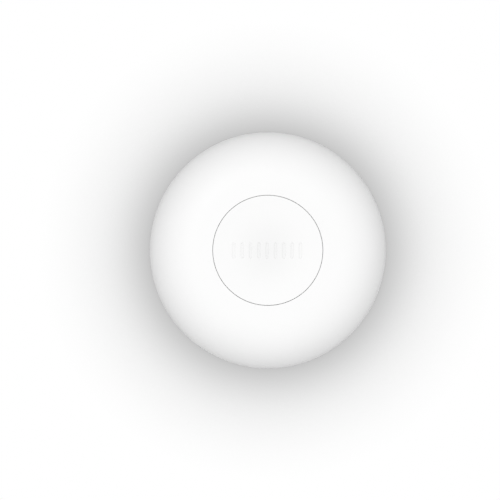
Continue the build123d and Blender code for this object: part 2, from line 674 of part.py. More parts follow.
def plunger(side_top, flange_top, tip):
    """Plunger of a switch at the origin, with a flange that stays below the metal frame."""
    flange = PLUNGER_RADIUS + PLUNGER_FLANGE
    flange_bottom = flange_top - PLUNGER_FLANGE_HEIGHT
    side = Polyline(
        (PLUNGER_RADIUS, side_top),
        (PLUNGER_RADIUS, flange_top),
        (flange, flange_top),
        (flange, flange_bottom),
        (0, flange_bottom),
        tip @ 1,
    )
    return turned([tip, side])


def switch_plunger():
    """Plunger of the main switch, flat on top with a cut edge."""
    side_top = PLUNGER_TOP - PLUNGER_EDGE
    tip = Polyline((PLUNGER_RADIUS, side_top), (PLUNGER_RADIUS - PLUNGER_EDGE, PLUNGER_TOP), (0, PLUNGER_TOP))
    return plunger(side_top, SWITCH_TOP, tip)


def tamper_plunger():
    """Plunger of the tamper switch, held down by the cover, with a round top that follows the ramp."""
    half_angle = degrees(asin(PLUNGER_RADIUS / TAMPER_DOME_RADIUS))
    dome = CenterArc((0, TAMPER_TOP - TAMPER_DOME_RADIUS), TAMPER_DOME_RADIUS, 90 - half_angle, half_angle)
    return at_tamper(plunger((dome @ 0).Y, SWITCH_TOP - TAMPER_TRAVEL, dome))


def battery():
    """Coin cell: a wide can with a narrower lid below it."""
    radius = CELL_DIAMETER / 2
    return Pos(0, -CELL_OFFSET, 0) * turned_points(
        (0, CELL_BOTTOM),
        (radius - CELL_STEP, CELL_BOTTOM),
        (radius - CELL_STEP, CELL_BOTTOM + CELL_STEP_HEIGHT),
        (radius - CELL_EDGE, CELL_BOTTOM + CELL_STEP_HEIGHT),
        (radius, CELL_BOTTOM + CELL_STEP_HEIGHT + CELL_EDGE),
        (radius, CELL_TOP - CELL_EDGE),
        (radius - CELL_EDGE, CELL_TOP),
        (0, CELL_TOP),
    )


def battery_holder():
    """Round cradle with open sides, two hooks over the cell and two pegs into the board."""
    holder = tube(HOLDER_WINDOW_RADIUS, HOLDER_OUTER, BOARD_TOP, CELL_BOTTOM)
    holder += tube(HOLDER_INNER, HOLDER_OUTER, BOARD_TOP, CELL_TOP - HOLDER_WALL)
    hook_inner = HOLDER_INNER - HOLDER_HOOK_REACH
    for angle in HOLDER_HOOK_ANGLES:
        holder += sector(HOLDER_INNER, HOLDER_OUTER, BOARD_TOP, HOLDER_TOP, angle, HOLDER_HOOK_SWEEP)
        holder += sector(hook_inner, HOLDER_OUTER, CELL_TOP, HOLDER_TOP, angle, HOLDER_HOOK_SWEEP)
    for angle, sweep in ((270, 64), (90, 44), (0, 20), (180, 20)):
        holder -= sector(hook_inner, HOLDER_OUTER + CUT, CELL_BOTTOM, HOLDER_TOP + CUT, angle, sweep)
    for side in (-HOLDER_PEG_OFFSET, HOLDER_PEG_OFFSET):
        holder += disc(HOLDER_PEG_RADIUS, BOARD_BOTTOM, BOARD_TOP + HOLDER_FLOOR, side)
    return Pos(0, -CELL_OFFSET, 0) * holder


def positive_contact():
    """Sheet-metal spring that presses on the cell's side, with a leg into the board."""
    radius = CELL_DIAMETER / 2
    outer = CONTACT_REACH + CONTACT_SHEET / 2
    bend_top = CELL_TOP - CONTACT_DROP
    foot = BOARD_TOP + ASSEMBLY_GAP
    leg = block(CONTACT_SHEET, CONTACT_LEG_WIDTH, BOARD_BOTTOM - LEG_BELOW_BOARD, foot, CONTACT_REACH)
    upright = block(CONTACT_SHEET, CONTACT_WIDTH, foot, bend_top, CONTACT_REACH)
    bridge = bar(radius, outer, CONTACT_WIDTH, bend_top - CONTACT_SHEET, bend_top)
    finger = bar(radius, radius + CONTACT_SHEET, CONTACT_WIDTH, CELL_BOTTOM + CONTACT_DROP, bend_top)
    return Pos(0, -CELL_OFFSET, 0) * (leg + upright + bridge + finger)


def negative_contact():
    """Sheet-metal plate below the cell, with two fingers that touch its lid."""
    x_size, y_size = NEGATIVE_SIZE
    finger_x, finger_y = NEGATIVE_FINGER
    plate = block(x_size, y_size, BOARD_TOP, BOARD_TOP + CONTACT_SHEET)
    for side in (-1, 1):
        plate += block(finger_x, finger_y, BOARD_TOP, CELL_BOTTOM, x_size / 3, side * y_size / 3)
    return Pos(0, -CELL_OFFSET, 0) * plate


def radio_shield():
    """Sheet-metal can over the radio, open towards the board."""
    x_size, y_size, height = SHIELD_SIZE
    top = BOARD_TOP + height
    can = fillet(upright_edges(block(x_size, y_size, BOARD_TOP, top)), SHIELD_CORNER)
    can = chamfer(top_edges(can), SHIELD_SHEET)
    hollow = block(x_size - 2 * SHIELD_SHEET, y_size - 2 * SHIELD_SHEET, BOARD_TOP - CUT, top - SHIELD_SHEET)
    hollow = fillet(upright_edges(hollow), SHIELD_CORNER - SHIELD_SHEET)
    return Pos(*SHIELD_PLACE, 0) * (can - hollow)


def antenna():
    """Wound wire beside the radio, which runs straight down into the board at each end."""
    middle = BOARD_TOP + ANTENNA_RADIUS + ANTENNA_WIRE + ASSEMBLY_GAP
    low = BOARD_BOTTOM - LEG_BELOW_BOARD
    first, last = antenna_ends()
    steps = int(ANTENNA_TURNS * STEPS_PER_TURN)
    points = [(*first, low), (*first, (low + middle) / 2)]
    for step in range(steps + 1):
        turn = ANTENNA_TURNS * step / steps
        across, up = on_circle(ANTENNA_RADIUS, 360 * turn)
        points.append((first[0] + ANTENNA_PITCH * turn, ANTENNA_PLACE[1] - across, middle + up))
    points += [(*last, (low + middle) / 2), (*last, low)]
    return wire_along(points, ANTENNA_WIRE)


def microcontroller():
    """Square flat chip."""
    x_size, y_size, height = CHIP_SIZE
    chip = block(x_size, y_size, BOARD_TOP, BOARD_TOP + height, *CHIP_PLACE)
    return chamfer(top_edges(chip), height / 6)


def crystal():
    """Resonator in a rounded metal can."""
    x_size, y_size, height = CRYSTAL_SIZE
    can = block(x_size, y_size, BOARD_TOP, BOARD_TOP + height, *CRYSTAL_PLACE)
    return fillet(upright_edges(can), y_size / 5)


def bulk_capacitor():
    """Upright round capacitor on a square foot with two cut corners."""
    size, height, corner = CAPACITOR_FOOT
    foot = block(size, size, BOARD_TOP, BOARD_TOP + height)
    foot = chamfer(upright_edges(foot).sort_by(Axis.X)[-2:], corner)
    can = disc(CAPACITOR_RADIUS, BOARD_TOP + height, BOARD_TOP + CAPACITOR_HEIGHT)
    can = fillet(top_edges(can), height / 2)
    return Pos(*CAPACITOR_PLACE, 0) * (foot + can)


def chip_parts():
    """Small two-ended chips on the board."""
    x_size, y_size, height = SMALL_CHIP_SIZE
    chip = block(x_size, y_size, BOARD_TOP, BOARD_TOP + height)
    return [Pos(x, y, 0) * Rot(0, 0, turn) * chip for x, y, turn in SMALL_CHIP_PLACES]


def main():
    """Writes every piece to its own file in parts."""
    os.makedirs("parts", exist_ok=True)
    pieces = {
        "base_plate": base_plate(),
        "front_cover": front_cover(),
        "button_cap": button_cap(),
        "button_carrier": button_carrier(),
        "carrier_screws": carrier_screws(),
        "return_spring": return_spring(),
        "circuit_board": circuit_board(),
        "board_screws": board_screws(),
        "switch_body": switch_body(),
        "switch_frame": switch_frame(),
        "switch_terminals": switch_terminals(),
        "switch_plunger": switch_plunger(),
        "tamper_body": at_tamper(switch_body()),
        "tamper_frame": at_tamper(switch_frame()),
        "tamper_terminals": [at_tamper(pin) for pin in switch_terminals()],
        "tamper_plunger": tamper_plunger(),
        "battery": battery(),
        "battery_holder": battery_holder(),
        "battery_contact_positive": positive_contact(),
        "battery_contact_negative": negative_contact(),
        "radio_shield": radio_shield(),
        "antenna": antenna(),
        "microcontroller": microcontroller(),
        "crystal": crystal(),
        "bulk_capacitor": bulk_capacitor(),
        "chip_parts": chip_parts(),
    }
    for name, shape in pieces.items():
        whole = Compound(children=shape) if isinstance(shape, list) else shape
        export_step(whole, f"parts/{name}.step")


main()
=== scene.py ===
"""Looks of the wall-mounted panic button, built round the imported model.

The button lies on its back: z = 0 is the wall, +Z points at the person who presses the button,
+X is to that person's right and +Y is up. The camera looks straight down at it.
Sizes are in millimetres, angles in degrees, and the studio in metres. MM turns millimetres into metres.
"""

from math import atan2, ceil, cos, degrees, hypot, pi, radians, sin

import bmesh
import bpy
import numpy as np
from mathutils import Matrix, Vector
from mathutils.geometry import delaunay_2d_cdt


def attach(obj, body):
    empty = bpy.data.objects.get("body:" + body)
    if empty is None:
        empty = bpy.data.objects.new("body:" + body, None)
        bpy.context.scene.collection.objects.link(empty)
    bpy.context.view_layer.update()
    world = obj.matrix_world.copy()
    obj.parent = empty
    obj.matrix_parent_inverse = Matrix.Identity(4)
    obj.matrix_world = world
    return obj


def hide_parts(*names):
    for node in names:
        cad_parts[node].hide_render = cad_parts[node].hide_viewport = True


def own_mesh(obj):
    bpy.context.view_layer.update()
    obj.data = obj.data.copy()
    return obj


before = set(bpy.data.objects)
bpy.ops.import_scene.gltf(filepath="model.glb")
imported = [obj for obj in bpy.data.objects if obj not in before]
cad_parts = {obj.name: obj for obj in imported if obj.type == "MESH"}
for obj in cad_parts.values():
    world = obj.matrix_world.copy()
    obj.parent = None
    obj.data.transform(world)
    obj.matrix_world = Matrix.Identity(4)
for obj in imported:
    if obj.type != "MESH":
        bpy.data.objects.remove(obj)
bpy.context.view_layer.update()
MM = 0.001
NEAR = 0.01

# Camera
PICTURE_PIXELS = 500
MM_PER_PIXEL = 0.3303
CENTRE_PIXEL = (267.81, 250.32)
LENS = 600.0
SENSOR = 36.0
OUTLINE_HEIGHT = 8.2
CLIP_RANGE = (0.05, 50.0)

# Studio, in metres: the falloff gives the floor's brightness for a share of open sky
SKY_STRENGTH = 1.016
FLOOR_RADIUS = 24.0
FLOOR_REFLECTANCE = 0.15
SHADOW_REACH = 0.038
SHADOW_SAMPLES = 32
SHADOW_FALLOFF = ((0.59, 0.582), (0.70, 0.643), (0.83, 0.769), (0.93, 0.922), (0.975, 0.983))
LAMP_POWER = 1.3
LAMP_SIZE = 1.0
LAMP_PLACE = (-0.45, 0.5, 1.4)

# Face of the button: a dish, with an edge that is rounded in CAD and crisper in the looks
FACE_RADIUS = 17.8
FACE_MIDDLE = 22.8
FACE_DISH = 1.1
CAP_RADIUS = 18.05
CAP_EDGE = 0.25
RIM_EDGE = 0.2

# Mouth of the cover's collar: bore and edge in CAD, and narrower and crisper in the looks
BODY_HEIGHT = 24.0
COLLAR_BORE = 18.35
COLLAR_EDGE = 0.3
MOUTH_BORE = 18.17
MOUTH_EDGE = 0.12

# Row of touch grooves on the face
GROOVE_COUNT = 9
GROOVE_ROW = (22.8, 5.1)
GROOVE_CENTRE = (-0.2, -0.1)
GROOVE_WIDTH = 0.9
GROOVE_DEPTH = 0.25
GROOVE_WALL = 0.24
GROOVE_FLOOR = 0.12
GROOVE_STEP = 0.14
WALL_LEVELS = 7
FACE_GRID = 0.4
GRID_TO_EDGE = 0.7
GRID_TO_WALL = 0.4

# Return spring
SPRING_RADIUS = 6.4
SPRING_WIRE = 0.45
SPRING_TURNS = 4.5
SPRING_CLOSED = 0.8
SPRING_LOW = 12.9
SPRING_HIGH = 21.0
SPRING_SIDES = 14
TURN_STEPS = 28

# Screw threads: node, body, radius of the shank, and the lengths left plain at its tip and head
THREAD_PITCH = 0.8
THREAD_RIDGE = 0.16
THREAD_SIDES = 6
THREADS = (
    ("carrier_screws", "cover", 1.0, (2.6, 1.0)),
    ("board_screws", "base", 1.0, (1.0, 2.2)),
)

# Circuit board
BOARD_BOTTOM = 3.6
BOARD_TOP = 5.2
BOARD_RADIUS = 31.3
CAN_SEAT = 1.2
LEGGED_NODES = ("switch_terminals", "tamper_terminals", "battery_contact_positive", "antenna")
LEG_SPREAD = 1.4
LEG_TIP = 0.05
SOLDER_OUTLINE = ((0, -0.8), (0.42, -0.72), (0.5, -0.42), (0.72, -0.12), (0.95, 0), (0, 0))
SOLDER_SIDES = 20

# Small chips, and the pads round the microcontroller
CHIP_PART = (2.0, 1.25, 0.7)
CHIP_INSET = (0.1, 0.1, 0.06)
CHIP_EDGE = 0.05
END_LENGTH = 0.45
END_EDGE = 0.08
LEAD_COUNT = 12
LEAD_PITCH = 0.5
LEAD_PAD = (0.7, 0.26, 0.16)
LEAD_EDGE = 0.04

# Raised cross on the cell, as length, width and height, and the mark at the microcontroller's first pin
CELL_MARK = (4.4, 1.0, 0.1)
PIN_MARK_RADIUS = 0.3
PIN_MARK_INSET = 0.9
PIN_MARK_LEVELS = (-0.02, 0.015)

# Tracks: sizes, and the lengths between which the run off the pad and the slanting run are drawn
TRACK_WIDTH = 0.22
TRACK_HEIGHT = 0.035
TRACK_SPACE = 0.2
TRACK_SEED = 7
TRACK_TRIES = 240
TRACK_RUNS = ((0.3, 4.0), (0.5, 9.0))
TRACK_SLANTS = (-45, 45)
RUN_POINTS = 24
POINTS_ON_PAD = 3
VIA_RADIUS = 0.32
VIA_HOLE = 0.15
VIA_LEVELS = (-0.02, 0.05)
VIA_SIDES = 16

# Places on the board that tracks keep out of, as x, y and radius, and the space round other pieces
SWITCH_AND_CELL = ((0, 0, 5.6), (0, -17.35, 14.2))
NOTCHES = ((25, 0, 6.4), (-25, 0, 6.4), (29, 0, 6.6), (-29, 0, 6.6))
SCREW_CLEARANCE = 3.4
LEG_CLEARANCE = 1.5
SEATED_NODES = ("radio_shield", "microcontroller", "crystal", "bulk_capacitor", "tamper_body")
SEAT_CLEARANCE = 0.3
BOARD_MARGIN = 1.0

# Colours
COVER_COLOUR = 0.923
BUTTON_COLOUR = 0.918
# Painted shade: the button's face is made darker towards its middle, standing in for the shade of its dish
DISH_SHADE_RADIUS = 15.0
PAINTED_DISH_SHADE = 0.95
STEEL = (0.52, 0.52, 0.51, 1)
SPRING_STEEL = (0.50, 0.50, 0.49, 1)
CELL_STEEL = (0.56, 0.56, 0.55, 1)
TIN = (0.58, 0.58, 0.56, 1)
NICKEL = (0.7, 0.69, 0.66, 1)
ALUMINIUM = (0.72, 0.72, 0.71, 1)
BRASS = (0.60, 0.45, 0.22, 1)
COPPER = (0.58, 0.23, 0.11, 1)
ACETAL = (0.70, 0.71, 0.72, 1)
DARK_ACETAL = (0.045, 0.045, 0.05, 1)
CERAMIC = (0.30, 0.22, 0.15, 1)
SOLDER_MASK = (0.008, 0.085, 0.032, 1)
MASKED_COPPER = (0.03, 0.17, 0.06, 1)

# Sizes of the patches that vary a surface, and how far its roughness varies
FLOW_MARK = 14.0
PLASTIC_PATCH = 5.0
PLASTIC_SPREAD = (-0.05, 0.05)
STAIN = 3.0
STAIN_SHADE = 0.94
METAL_PATCH = 1.2
METAL_SPREAD = (-0.04, 0.05)
LAMINATE_CLOUD = 6.0
WEAVE_SCALE = 700.0
WEAVE_DEPTH = 0.003


def add_node(tree, kind, settings=None, **inputs):
    """New shader or geometry node, with its settings and its inputs, each a value or a socket to link."""
    made = tree.nodes.new(kind)
    for name, value in (settings or {}).items():
        setattr(made, name, value)
    for name, value in inputs.items():
        key = int(name[1:]) if name[0] == "_" and name[1:].isdigit() else name.replace("_", " ")
        if isinstance(value, bpy.types.NodeSocket):
            tree.links.new(value, made.inputs[key])
        else:
            made.inputs[key].default_value = value
    return made


def grey(value):
    """Neutral colour of one brightness."""
    return (value, value, value, 1.0)


def shaded(colour, share):
    """Colour made darker or lighter by a share."""
    return tuple(channel * share for channel in colour[:3]) + (1.0,)


def new_material(name):
    """Empty material with its node tree, its shader and the object's own coordinates."""
    material = bpy.data.materials.new(name)
    material.use_nodes = True
    tree = material.node_tree
    place = add_node(tree, "ShaderNodeTexCoord").outputs["Object"]
    return material, tree, tree.nodes["Principled BSDF"], place


def noise(tree, place, size, detail=2.0, roughness=0.5):
    """Noise whose blotches are about one size across."""
    return add_node(tree, "ShaderNodeTexNoise", Vector=place, Scale=1 / (size * MM), Detail=detail,
                    Roughness=roughness).outputs[0]


def between(tree, value, low, high, start=0.3, end=0.7):
    """A value spread evenly between two others."""
    return add_node(tree, "ShaderNodeMapRange", Value=value, From_Min=start, From_Max=end,
                    To_Min=low, To_Max=high).outputs["Result"]


def mixed(tree, factor, first, second):
    """Colour that goes from first to second."""
    return add_node(tree, "ShaderNodeMix", {"data_type": "RGBA"}, _0=factor, _6=first, _7=second).outputs[2]


def bump(tree, shader, height, distance):
    """Relief on a shader, from a height between 0 and 1 and the full depth."""
    relief = add_node(tree, "ShaderNodeBump", Strength=1.0, Distance=distance * MM, Height=height)
    tree.links.new(relief.outputs["Normal"], shader.inputs["Normal"])


def uneven_gloss(tree, shader, place, size, roughness, spread):
    """Roughness that varies in patches, by a spread either side of a value."""
    varied = between(tree, noise(tree, place, size), roughness + spread[0], roughness + spread[1])
    tree.links.new(varied, shader.inputs["Roughness"])


def moulded_plastic(name, colour, mottle=0.02, gloss=0.45, grain=0.25, grain_depth=0.004):
    """Injection-moulded plastic: faint flow marks in its colour and a fine eroded texture."""
    material, tree, shader, place = new_material(name)
    flow = between(tree, noise(tree, place, FLOW_MARK, 3.0), 0.0, 1.0)
    tree.links.new(mixed(tree, flow, shaded(colour, 1 - mottle), colour), shader.inputs["Base Color"])
    uneven_gloss(tree, shader, place, PLASTIC_PATCH, gloss, PLASTIC_SPREAD)
    bump(tree, shader, noise(tree, place, grain, 3.0, 0.6), grain_depth)
    return material


def worn_metal(name, colour, roughness=0.3, grain=0.4, grain_depth=0.002, stretch=(1, 1, 1)):
    """Metal with faint stains, uneven gloss and a fine grain, which can be drawn out along an axis."""
    material, tree, shader, place = new_material(name)
    shader.inputs["Metallic"].default_value = 1.0
    drawn = add_node(tree, "ShaderNodeMapping", Vector=place, Scale=stretch).outputs[0]
    stain = between(tree, noise(tree, place, STAIN, 3.0), 0.0, 1.0)
    tree.links.new(mixed(tree, stain, shaded(colour, STAIN_SHADE), colour), shader.inputs["Base Color"])
    uneven_gloss(tree, shader, drawn, METAL_PATCH, roughness, METAL_SPREAD)
    bump(tree, shader, noise(tree, drawn, grain, 3.0, 0.7), grain_depth)
    return material


def laminate(name, colour):
    """Solder mask over woven glass, whose threads show faintly."""
    material, tree, shader, place = new_material(name)
    threads = []
    for axis in "XY":
        bands = add_node(tree, "ShaderNodeTexWave", {"bands_direction": axis}, Vector=place,
                         Scale=WEAVE_SCALE, Distortion=0.8)
        threads.append(bands.outputs[1])
    weave = add_node(tree, "ShaderNodeMath", {"operation": "MULTIPLY"}, _0=threads[0],
                     _1=threads[1]).outputs[0]
    cloudy = between(tree, noise(tree, place, LAMINATE_CLOUD, 3.0), 0.0, 1.0)
    mask = mixed(tree, cloudy, shaded(colour, 0.8), colour)
    tree.links.new(mixed(tree, weave, mask, shaded(colour, 1.2)), shader.inputs["Base Color"])
    shader.inputs["Roughness"].default_value = 0.35
    bump(tree, shader, weave, WEAVE_DEPTH)
    return material


def can_on_foot(name, level, foot_colour, can_colour, roughness):
    """Metal can above one height, and the plastic foot that it stands on below."""
    material, tree, shader, place = new_material(name)
    height = add_node(tree, "ShaderNodeSeparateXYZ", Vector=place).outputs["Z"]
    above = add_node(tree, "ShaderNodeMath", {"operation": "GREATER_THAN"}, _0=height,
                     _1=level * MM).outputs[0]
    tone = between(tree, noise(tree, place, 2.0, 3.0), 0.9, 1.0)
    colour = mixed(tree, above, foot_colour, can_colour)
    toned = add_node(tree, "ShaderNodeHueSaturation", Value=tone, Color=colour).outputs[0]
    tree.links.new(toned, shader.inputs["Base Color"])
    tree.links.new(above, shader.inputs["Metallic"])
    uneven_gloss(tree, shader, place, 0.8, roughness, (-0.05, 0.08))
    bump(tree, shader, noise(tree, place, 0.15, 2.0), 0.002)
    return material


def face_plastic():
    """Plastic of the button's cap, with painted shade that makes it a little darker in the middle."""
    material = moulded_plastic("button_abs", grey(BUTTON_COLOUR), 0.006, 0.36, 0.18, 0.002)
    tree = material.node_tree
    shader = tree.nodes["Principled BSDF"]
    place = tree.nodes["Texture Coordinate"].outputs["Object"]
    flat = add_node(tree, "ShaderNodeVectorMath", {"operation": "MULTIPLY"}, _0=place,
                    _1=(1, 1, 0)).outputs[0]
    away = add_node(tree, "ShaderNodeVectorMath", {"operation": "LENGTH"}, _0=flat).outputs["Value"]
    # Painted shade: base colour darkened towards the middle of the face, standing in for the dish's shade
    painted_middle_shade = add_node(tree, "ShaderNodeMapRange", {"interpolation_type": "SMOOTHSTEP"}, Value=away,
                       From_Min=0.0, From_Max=DISH_SHADE_RADIUS * MM, To_Min=PAINTED_DISH_SHADE, To_Max=1.0)
    clean = shader.inputs["Base Color"].links[0].from_socket
    toned = add_node(tree, "ShaderNodeHueSaturation", Value=painted_middle_shade.outputs["Result"],
                     Color=clean).outputs[0]
    tree.links.new(toned, shader.inputs["Base Color"])
    return material


# Finish of each slot
material_of_slot = {
    "base_plastic": moulded_plastic("base_abs", grey(0.80)),
    "cover_plastic": moulded_plastic("cover_abs", grey(COVER_COLOUR), 0.006, 0.34, 0.18, 0.002),
    "button_plastic": face_plastic(),
    "carrier_plastic": moulded_plastic("carrier_acetal", ACETAL, 0.03, 0.35),
    "holder_plastic": moulded_plastic("holder_nylon", grey(0.035), 0.2, 0.5),
    "switch_plastic": moulded_plastic("switch_nylon", grey(0.028), 0.2, 0.5),
    "plunger_plastic": moulded_plastic("plunger_acetal", DARK_ACETAL, 0.1, 0.35),
    "chip_plastic": moulded_plastic("chip_epoxy", grey(0.02), 0.2, 0.6, 0.12, 0.006),
    "chip_ceramic": moulded_plastic("chip_glaze", CERAMIC, 0.1, 0.4),
    "screw_steel": worn_metal("zinc_steel", STEEL, 0.32),
    "spring_steel": worn_metal("spring_steel", SPRING_STEEL, 0.3, 0.3, 0.003),
    "switch_metal": worn_metal("switch_sheet", TIN, 0.3, 0.3, 0.002, (1, 6, 6)),
    "tinned_metal": worn_metal("tin", TIN, 0.24, 0.5, 0.004),
    "contact_metal": worn_metal("contact_sheet", BRASS, 0.3, 0.3, 0.002, (6, 6, 1)),
    "cell_steel": worn_metal("cell_steel", CELL_STEEL, 0.24, 0.25, 0.001, (1, 10, 10)),
    "shield_metal": worn_metal("shield_sheet", TIN, 0.3, 0.3, 0.0015, (1, 10, 10)),
    "crystal_metal": worn_metal("crystal_can", NICKEL, 0.3),
    "antenna_copper": worn_metal("enamelled_copper", COPPER, 0.22),
    "board_laminate": laminate("solder_mask", SOLDER_MASK),
    "capacitor_metal": can_on_foot("capacitor", BOARD_TOP + CAN_SEAT, grey(0.025), ALUMINIUM, 0.32),
}


def finish_nodes():
    """Gives each carried-over node the material of its slot."""
    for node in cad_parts.values():
        for slot in node.material_slots:
            if slot.material.name in material_of_slot:
                finish = material_of_slot[slot.material.name]
                slot.link = "OBJECT"
                slot.material = finish


def place_camera():
    """Camera straight above the button, framed as in the photograph."""
    distance = LENS * MM_PER_PIXEL * PICTURE_PIXELS / SENSOR
    data = bpy.data.cameras.new("camera")
    data.lens = LENS
    data.sensor_width = SENSOR
    data.shift_x = (PICTURE_PIXELS / 2 - CENTRE_PIXEL[0]) / PICTURE_PIXELS
    data.shift_y = (CENTRE_PIXEL[1] - PICTURE_PIXELS / 2) / PICTURE_PIXELS
    data.clip_start, data.clip_end = CLIP_RANGE
    camera = bpy.data.objects.new("camera", data)
    bpy.context.scene.collection.objects.link(camera)
    camera.location = (0, 0, (distance + OUTLINE_HEIGHT) * MM)
    bpy.context.scene.camera = camera


def background_rays(tree):
    """Share that is 1 for rays that should see the white background."""
    path = add_node(tree, "ShaderNodeLightPath").outputs
    seen = add_node(tree, "ShaderNodeMath", {"operation": "ADD"}, _0=path["Is Camera Ray"],
                    _1=path["Is Glossy Ray"]).outputs[0]
    return add_node(tree, "ShaderNodeMath", {"operation": "ADD", "use_clamp": True}, _0=seen,
                    _1=path["Is Transmission Ray"]).outputs[0]


def sky():
    """Even light from all sides, seen as white."""
    world = bpy.data.worlds.new("studio")
    bpy.context.scene.world = world
    world.use_nodes = True
    tree = world.node_tree
    tree.nodes.clear()
    light = add_node(tree, "ShaderNodeBackground", Color=grey(1.0), Strength=SKY_STRENGTH).outputs[0]
    white = add_node(tree, "ShaderNodeBackground", Color=grey(1.0), Strength=1.0).outputs[0]
    mix = add_node(tree, "ShaderNodeMixShader", _0=background_rays(tree), _1=light, _2=white).outputs[0]
    add_node(tree, "ShaderNodeOutputWorld", Surface=mix)


def floor():
    """White floor with a soft shadow, as one triangle, so that no inner edge of it shows."""
    mesh = bpy.data.meshes.new("floor")
    corners = [(FLOOR_RADIUS * cos(a), FLOOR_RADIUS * sin(a), 0) for a in (pi / 2, pi * 7 / 6, pi * 11 / 6)]
    mesh.from_pydata(corners, [], [(0, 1, 2)])
    ground = bpy.data.objects.new("floor", mesh)
    bpy.context.scene.collection.objects.link(ground)
    material = bpy.data.materials.new("floor_white")
    material.use_nodes = True
    tree = material.node_tree
    tree.nodes.clear()
    open_sky = add_node(tree, "ShaderNodeAmbientOcclusion", {"samples": SHADOW_SAMPLES},
                        Distance=SHADOW_REACH)
    falloff = add_node(tree, "ShaderNodeFloatCurve", Value=open_sky.outputs["AO"])
    for point in SHADOW_FALLOFF:
        falloff.mapping.curves[0].points.new(*point)
    falloff.mapping.update()
    seen = add_node(tree, "ShaderNodeEmission", Color=falloff.outputs["Value"], Strength=1.0).outputs[0]
    lit = add_node(tree, "ShaderNodeBsdfDiffuse", Color=grey(FLOOR_REFLECTANCE)).outputs[0]
    mix = add_node(tree, "ShaderNodeMixShader", _0=background_rays(tree), _1=lit, _2=seen).outputs[0]
    add_node(tree, "ShaderNodeOutputMaterial", Surface=mix)
    mesh.materials.append(material)


def lamp():
    """One large soft lamp, from the upper left."""
    light = bpy.data.lights.new("top_lamp", "AREA")
    light.shape = "DISK"
    light.size = LAMP_SIZE
    light.energy = LAMP_POWER
    holder = bpy.data.objects.new("top_lamp", light)
    bpy.context.scene.collection.objects.link(holder)
    holder.location = LAMP_PLACE
    holder.rotation_mode = "QUATERNION"
    holder.rotation_quaternion = Vector(LAMP_PLACE).to_track_quat("Z", "Y")


def new_piece(name, mesh, body, slot, *replaced, material=None):
    """Finished piece that rides on a body, takes a slot's finish and stands for some nodes."""
    piece = bpy.data.objects.new(name, mesh)
    bpy.context.scene.collection.objects.link(piece)
    mesh.materials.clear()
    mesh.materials.append(material or material_of_slot[slot])
    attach(piece, body)
    if replaced:
        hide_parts(*replaced)
    return piece


def merged_copy(node):
    """Mesh for editing: the node's triangles with their shared corners joined."""
    form = bmesh.new()
    form.from_mesh(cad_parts[node].data)
    bmesh.ops.remove_doubles(form, verts=form.verts, dist=1e-7)
    return form


def mesh_of(form, name):
    """Mesh with what was edited, whose editing ends here."""
    mesh = bpy.data.meshes.new(name)
    form.to_mesh(mesh)
    form.free()
    return mesh


def shade_by_angle(form, limit=32.0, always_smooth=()):
    """Smooth faces, with edges left sharp where the surface bends by more than a limit."""
    smooth = set(always_smooth)
    for face in form.faces:
        face.smooth = True
    for edge in form.edges:
        bend = degrees(edge.calc_face_angle(0.0))
        edge.smooth = bend < limit or all(face in smooth for face in edge.link_faces)


def reach_and_height(corner):
    """Distance of a corner from the button's axis, and its height."""
    return hypot(corner.co.x, corner.co.y) / MM, corner.co.z / MM


def move_out(corner, reach, wanted):
    """Moves a corner from one distance from the axis to another."""
    corner.co.x *= wanted / reach
    corner.co.y *= wanted / reach


def front_cover():
    """The cover, with a narrower and crisper edge round its collar's mouth."""
    form = merged_copy("front_cover")
    share = MOUTH_EDGE / COLLAR_EDGE
    edge_low = BODY_HEIGHT - COLLAR_EDGE
    for corner in form.verts:
        reach, height = reach_and_height(corner)
        if COLLAR_BORE - NEAR < reach < COLLAR_BORE + COLLAR_EDGE + NEAR and height > edge_low - NEAR:
            move_out(corner, reach, MOUTH_BORE + MOUTH_EDGE + (reach - COLLAR_BORE - COLLAR_EDGE) * share)
            corner.co.z = (BODY_HEIGHT - MOUTH_EDGE + (height - edge_low) * share) * MM
    form.normal_update()
    shade_by_angle(form)
    new_piece("cover", mesh_of(form, "cover"), "cover", "cover_plastic", "front_cover")


def tamper_tip():
    """The tamper switch's plunger, without the stray sliver that its CAD mesh has."""
    form = merged_copy("tamper_plunger")
    shade_by_angle(form)
    new_piece("tamper_tip", mesh_of(form, "tip"), "tamper_pin", "plunger_plastic", "tamper_plunger")


def groove_lines():
    """Middle lines of the upright grooves, as an array of start and end points on the face."""
    width, height = (size - GROOVE_WIDTH for size in GROOVE_ROW)
    x, y = GROOVE_CENTRE
    places = np.linspace(x - width / 2, x + width / 2, GROOVE_COUNT)
    return np.array([((place, y - height / 2), (place, y + height / 2)) for place in places])


def distance_to(segments, points):
    """Distance from each point to the nearest of some straight pieces."""
    nearest = np.full(len(points), 1e9)
    for start, end in segments:
        along = end - start
        share = np.clip((points - start) @ along / max(along @ along, 1e-12), 0, 1)
        nearest = np.minimum(nearest, np.linalg.norm(points - start - share[:, None] * along, axis=1))
    return nearest


def face_height(points):
    """Height of the button's face at some points, with the grooves sunk into it."""
    dish = FACE_MIDDLE + FACE_DISH * (points ** 2).sum(1) / FACE_RADIUS ** 2
    inside = np.clip((GROOVE_WIDTH / 2 - distance_to(groove_lines(), points)) / GROOVE_WALL + 0.5, 0, 1)
    return dish - GROOVE_DEPTH * inside * inside * (3 - 2 * inside)


def groove_contour(start, end, reach):
    """Points round an upright groove, all at one distance from its middle line."""
    side = np.arange(start[1], end[1], GROOVE_STEP)
    turns = np.linspace(0, pi, round(pi * reach / GROOVE_STEP) + 2)
    across, along = reach * np.cos(turns), reach * np.sin(turns)
    return np.concatenate([
        np.stack([np.full(len(side), start[0] - reach), side], 1),
        np.stack([np.full(len(side), start[0] + reach), side], 1),
        np.stack([end[0] + across, end[1] + along], 1),
        np.stack([start[0] - across, start[1] - along], 1),
    ])


